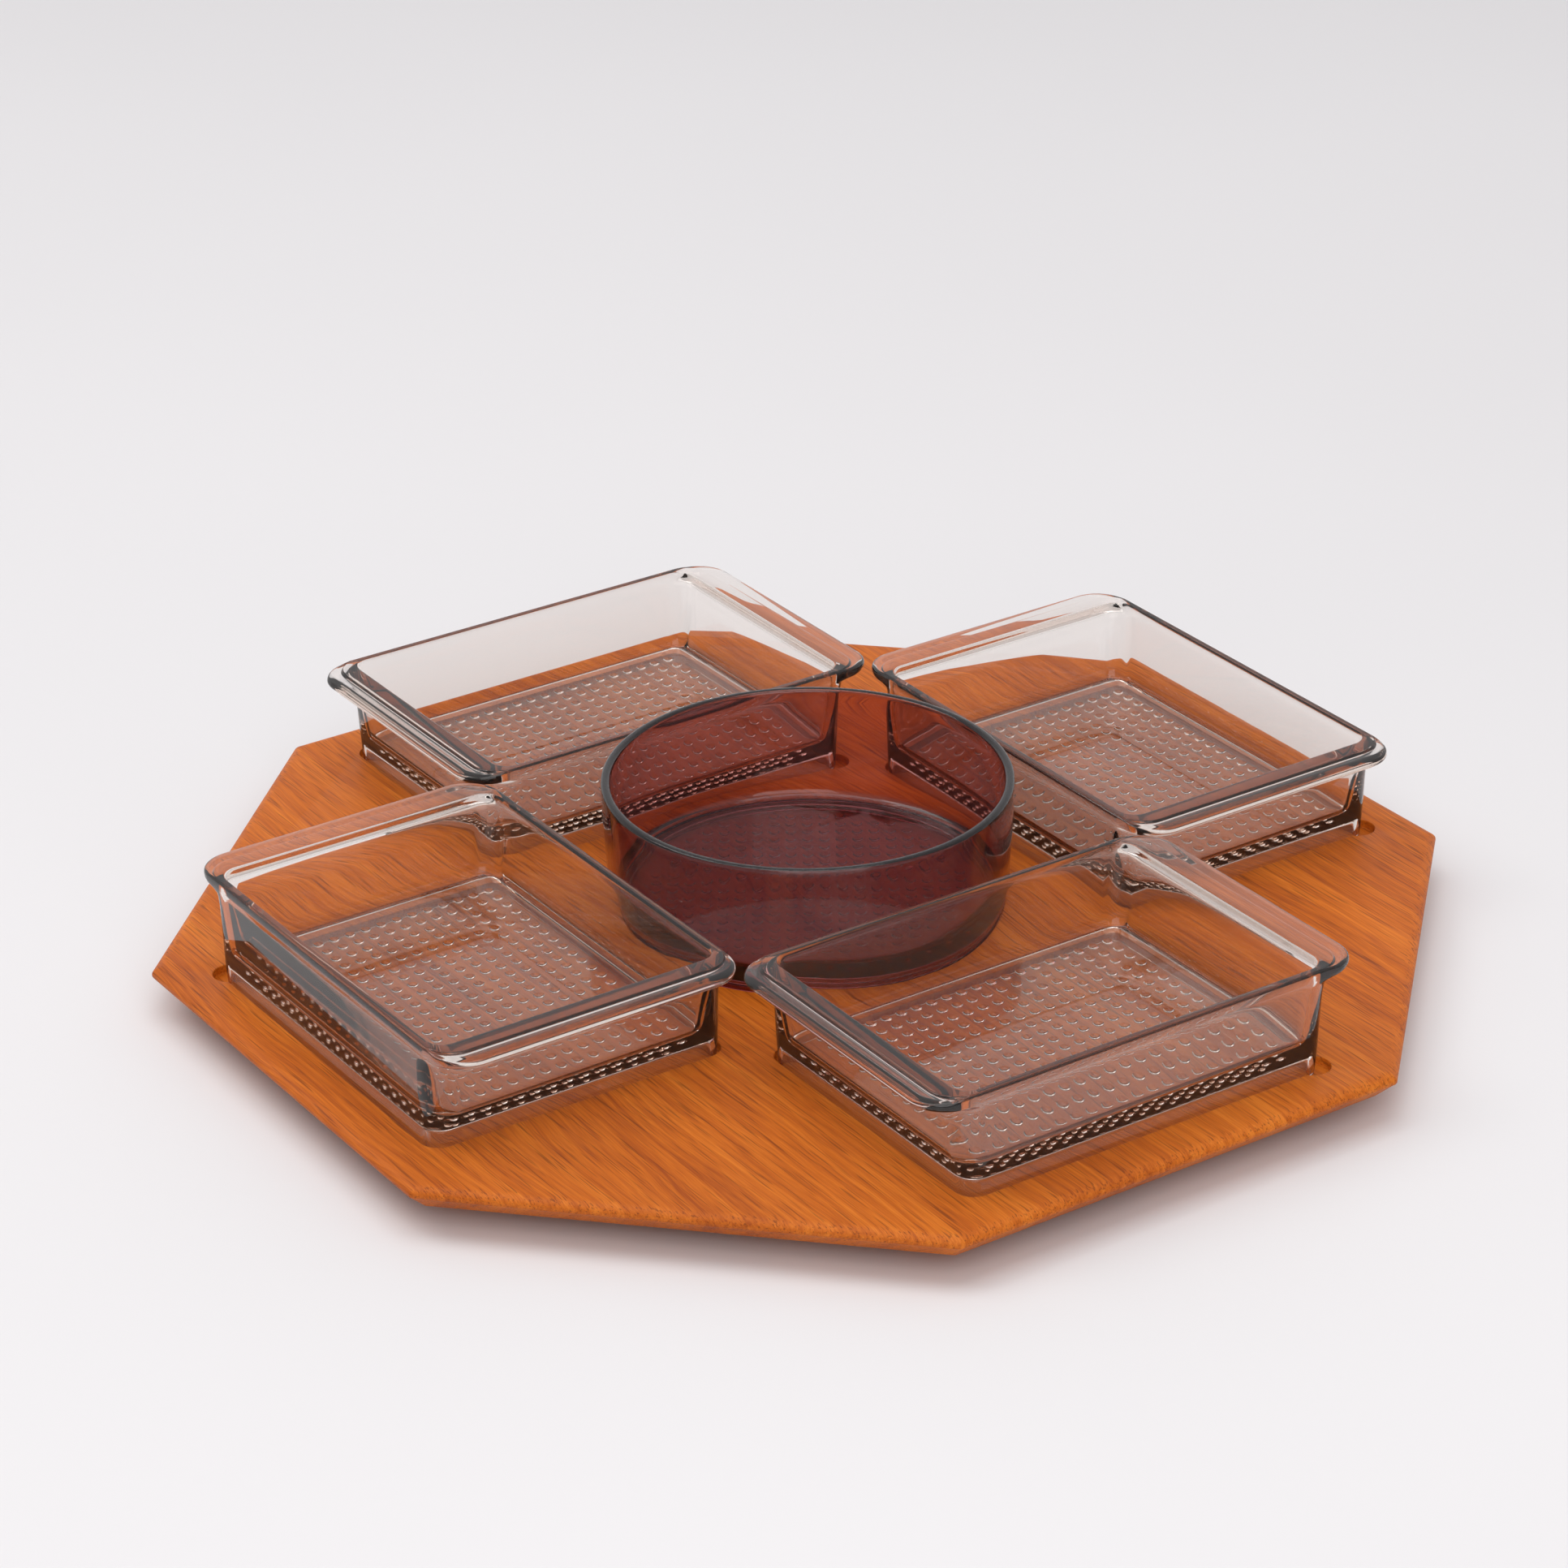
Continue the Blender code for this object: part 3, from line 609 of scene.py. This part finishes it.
def rectangular_profile(rim_x, rim_y, height):
    """Levels of the dish from its studded underside, round the outside, to its inner floor.

    Each is half width, half length, corner radius, height, how much lower the short ends are,
    and how far the corner between levels is softened."""
    foot_x, foot_y = FOOT_HALF
    mm = MM

    def side(z):
        """The straight long side, which leans out a little from the foot to the rim."""
        return foot_x + (rim_x - foot_x) * (z - FOOT_HEIGHT) / (height - FOOT_HEIGHT)

    return [
        (foot_x - 5.0 * mm, foot_y - 5.0 * mm, 2.6 * mm, FOOT_HEIGHT, 0, 0),
        (foot_x - 3.4 * mm, foot_y - 3.4 * mm, 3.6 * mm, FOOT_HEIGHT, 0, 1.0 * mm),
        (foot_x - 2.6 * mm, foot_y - 2.6 * mm, 4.2 * mm, 0, 0, 0.9 * mm),
        (foot_x - 0.4 * mm, foot_y - 0.4 * mm, 6.8 * mm, 0, 0, 1.1 * mm),
        (foot_x, foot_y, 7.0 * mm, FOOT_HEIGHT, 0, 1.0 * mm),
        (side(height - 10 * mm), foot_y + 2.0 * mm, 9.0 * mm, height - 10.0 * mm, 0, 4.0 * mm),
        (side(height - 5 * mm), foot_y + 3.6 * mm, 10.0 * mm, height - 5.0 * mm, 0, 2.0 * mm),
        (side(height - 4 * mm), rim_y - 6.0 * mm, 11.4 * mm, height - 4.0 * mm, 0, 1.6 * mm),
        (side(height - 3 * mm), rim_y - 0.9 * mm, 11.8 * mm, height - 3.0 * mm, 0.4 * mm, 1.1 * mm),
        (rim_x, rim_y, 12.0 * mm, height - 1.6 * mm, 0.5 * mm, 0.8 * mm),
        (rim_x - 0.1 * mm, rim_y - 0.7 * mm, 11.6 * mm, height - 0.3 * mm, 0.6 * mm, 0.8 * mm),
        (rim_x - 0.7 * mm, rim_y - 3.4 * mm, 10.5 * mm, height, 0.4 * mm, 0.9 * mm),
        (rim_x - 0.9 * mm, rim_y - 6.4 * mm, 9.6 * mm, height, 0.7 * mm, 0.5 * mm),
        (rim_x - 1.1 * mm, rim_y - 7.0 * mm, 9.2 * mm, height, 0, 0.5 * mm),
        (rim_x - 2.8 * mm, rim_y - 13.2 * mm, 6.2 * mm, height, 0, 0.6 * mm),
        (rim_x - 3.4 * mm, rim_y - 13.8 * mm, 5.6 * mm, height - 0.8 * mm, 0, 0.7 * mm),
        (47.2 * mm, 65.2 * mm, 6.0 * mm, DISH_FLOOR + 3.0 * mm, 0, 2.4 * mm),
        (46.0 * mm, 64.0 * mm, 5.4 * mm, DISH_FLOOR, 0, 2.4 * mm),
        (42.0 * mm, 60.0 * mm, 3.0 * mm, DISH_FLOOR, 0, 0),
    ]


def make_rectangular_dish(name, turn, material):
    centre, half, low = middle_of("dish_" + name)
    rim_x, rim_y = sorted((half.x, half.y))
    body = Body()
    rings = []
    profile = rectangular_profile(rim_x, rim_y, 2 * half.z)
    for half_x, half_y, corner, z, drop in softened(profile):
        ring = body.ring(rounded_rectangle(half_x, half_y, corner), z)
        for i in ring:
            x, y, _ = body.points[i]
            lip = min(max((abs(y) - LIP_START) / LIP_RAMP, 0), 1)
            body.points[i] = (x, y, z - drop * lip * lip * (3 - 2 * lip))
        rings.append(ring)
    body.skin(rings)
    body.faces.append(tuple(rings[-1]))
    cells = [
        (i - STUDS_ACROSS / 2, j - STUDS_ALONG / 2)
        for i in range(STUDS_ACROSS)
        for j in range(STUDS_ALONG)
    ]
    field = studded_field(body, STUD_PITCH, cells, 0.0, FOOT_HEIGHT)
    body.fill(rings[0], field)
    piece = f"glass_dish_{name}"
    mesh = body.mesh(piece)
    place = (centre.x, centre.y, low.z)
    add_piece(piece, mesh, f"{name}_dish", material, ["dish_" + name], place, turn)


def make_bowl(material):
    _, half, low = middle_of("round_dish")
    height = 2 * half.z
    rim = half.x
    mm = MM
    inner = rim - BOWL_WALL
    foot = BOWL_FOOT_RADIUS
    profile = [
        (foot - 6.5 * mm, BOWL_FLOOR_UNDER, 0),
        (foot - 4.6 * mm, BOWL_FLOOR_UNDER, 0.8 * mm),
        (foot - 4.0 * mm, 0, 0.9 * mm),
        (foot, 0, 0.9 * mm),
        (foot, 2.8 * mm, 0.8 * mm),
        (foot + 1.1 * mm, 4.0 * mm, 1.0 * mm),
        (foot + 1.1 * mm, 8.8 * mm, 2.4 * mm),
        (foot + 1.0 * mm, 12.0 * mm, 3.0 * mm),
        (rim, height - 6.0 * mm, 4.0 * mm),
        (rim, height, 1.4 * mm),
        (inner, height, 1.4 * mm),
        (inner - 0.2 * mm, height - 6.0 * mm, 2.0 * mm),
        (inner - 1.2 * mm, BOWL_FLOOR_TOP + 6.0 * mm, 4.0 * mm),
        (inner - 2.2 * mm, BOWL_FLOOR_TOP + 1.2 * mm, 2.2 * mm),
        (inner - 6.0 * mm, BOWL_FLOOR_TOP, 2.6 * mm),
        (inner - 12.0 * mm, BOWL_FLOOR_TOP, 0),
    ]
    body = Body()
    rings = [body.ring(circle(r, BOWL_SIDES), z) for r, z in softened(profile, 6)]
    body.skin(rings)
    body.faces.append(tuple(rings[-1]))
    reach = int(BOWL_STUD_REACH / BOWL_STUD_PITCH) + 1
    cells = [
        (i - 0.5, j - 0.5)
        for i in range(-reach, reach + 1)
        for j in range(-reach, reach + 1)
        if math.hypot(i, j) * BOWL_STUD_PITCH <= BOWL_STUD_REACH
    ]
    field = studded_field(body, BOWL_STUD_PITCH, cells, BOWL_STUD_TURN, BOWL_FLOOR_UNDER)
    body.fill(rings[0], field)
    mesh = body.mesh("glass_bowl")
    place = (0, 0, low.z)
    add_piece("glass_bowl", mesh, "middle_dish", material, ["round_dish"], place)


# ---------------------------------------------------------------- stage


FLOOR_RADIUS = 5.0
FLOOR_SIDES = 64
BRIGHT_SIDE = (0.555, 0.832, 0.0)  # beyond the object, as the camera sees it
SIDE_BRIGHTNESS = (0.22, 0.84)
CEILING_BRIGHTNESS = 0.62
# Name, location, size, power and colour
LIGHTS = [
    ("key", (-1.1, 1.0, 2.0), 1.2, 11, (1.0, 0.985, 0.97)),
    ("top", (-0.1, 0.0, 2.2), 1.6, 12, (1.0, 0.99, 0.99)),
    ("fill", (-0.8, -1.7, 1.3), 1.8, 17, (1.0, 0.99, 0.98)),
]


def make_floor():
    body = Body()
    body.fill(body.ring(circle(FLOOR_RADIUS, FLOOR_SIDES), 0.0))
    floor = bpy.data.objects.new("studio_floor", body.mesh("studio_floor"))
    bpy.context.scene.collection.objects.link(floor)
    material, tree, shader = start_material("pale_floor")
    soft = noise(tree, object_coordinates(tree, (1, 1, 1)), 1.5, 2)
    pale = colour_ramp(tree, soft, [(0.2, (0.80, 0.79, 0.80)), (0.8, (0.84, 0.83, 0.84))])
    tree.links.new(pale, shader.inputs["Base Color"])
    shader.inputs["Roughness"].default_value = 0.6
    shader.inputs["Specular IOR Level"].default_value = 0.2
    floor.data.materials.append(material)


def add_light(name, location, size, power, colour):
    """A square soft light aimed at the origin, unseen by the camera."""
    data = bpy.data.lights.new(name, "AREA")
    data.shape = "SQUARE"
    data.size = size
    data.energy = power
    data.color = colour
    light = bpy.data.objects.new(name, data)
    light.location = location
    light.rotation_euler = (-Vector(location)).to_track_quat("-Z", "Y").to_euler()
    light.visible_camera = False
    bpy.context.scene.collection.objects.link(light)


def make_room():
    """A room whose walls are brightest on one side, under an even ceiling."""
    world = bpy.data.worlds.new("pale_room")
    bpy.context.scene.world = world
    world.use_nodes = True
    tree = world.node_tree
    direction = add_node(tree, "ShaderNodeTexCoord").outputs["Generated"]

    def along(axis):
        made = add_node(tree, "ShaderNodeVectorMath", {0: direction, 1: axis}, operation="DOT_PRODUCT")
        return made.outputs["Value"]

    low = remap(tree, along(BRIGHT_SIDE), -0.3, 0.7, *SIDE_BRIGHTNESS)
    high = remap(tree, along((0, 0, 1)), 0.25, 0.75)
    sides = math_node(tree, "MULTIPLY", math_node(tree, "SUBTRACT", 1.0, high), low)
    ceiling = math_node(tree, "MULTIPLY", high, CEILING_BRIGHTNESS)
    pale = math_node(tree, "ADD", sides, ceiling)
    background = tree.nodes["Background"]
    background.inputs["Color"].default_value = (1.0, 0.985, 1.0, 1)
    tree.links.new(pale, background.inputs["Strength"])


def make_camera():
    data = bpy.data.cameras.new("camera")
    data.lens = CAMERA_LENS
    data.sensor_width = CAMERA_SENSOR
    camera = bpy.data.objects.new("camera", data)
    level = math.cos(CAMERA_DEPRESSION)
    look = Vector(
        (level * math.sin(CAMERA_AZIMUTH), level * math.cos(CAMERA_AZIMUTH), -math.sin(CAMERA_DEPRESSION))
    )
    camera.location = CAMERA_AIM - look * CAMERA_DISTANCE
    turn = look.to_track_quat("-Z", "Y") @ Matrix.Rotation(CAMERA_ROLL, 4, "Z").to_quaternion()
    camera.rotation_euler = turn.to_euler()
    bpy.context.scene.collection.objects.link(camera)
    bpy.context.scene.camera = camera


def dress(prefix, material):
    """Gives the material to every CAD node whose name starts with the prefix."""
    for node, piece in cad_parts.items():
        if node.startswith(prefix):
            piece.data.materials.clear()
            piece.data.materials.append(material)


def main():
    teak = make_teak("oiled_teak")
    smoky = make_glass("smoky_glass", *SMOKY_LOOK)
    plum = make_glass("plum_glass", *PLUM_LOOK)
    make_board(teak)
    for name, turn, _ in DISHES:
        make_rectangular_dish(name, turn, smoky)
    make_bowl(plum)
    dress("base_disc", make_teak("base_teak", math.pi / 2))
    rubber = make_plastic("foot_rubber", (0.012, 0.012, 0.012), (0.03, 0.03, 0.03), 0.75, 0.4)
    dress("foot_", rubber)
    steel = make_steel("plated_steel", (0.66, 0.65, 0.60), 0.34, 0.3)
    for prefix in STEEL_PREFIXES:
        dress(prefix, steel)
    dress("bearing_ball", make_steel("ball_steel", (0.78, 0.78, 0.79), 0.08, 0.05))
    nylon = make_plastic("cage_nylon", (0.70, 0.67, 0.58), (0.80, 0.78, 0.70), 0.5, 0.2)
    dress("ball_cage", nylon)
    make_floor()
    make_room()
    for light in LIGHTS:
        add_light(*light)
    make_camera()
    bpy.context.scene.view_settings.view_transform = "Standard"


main()
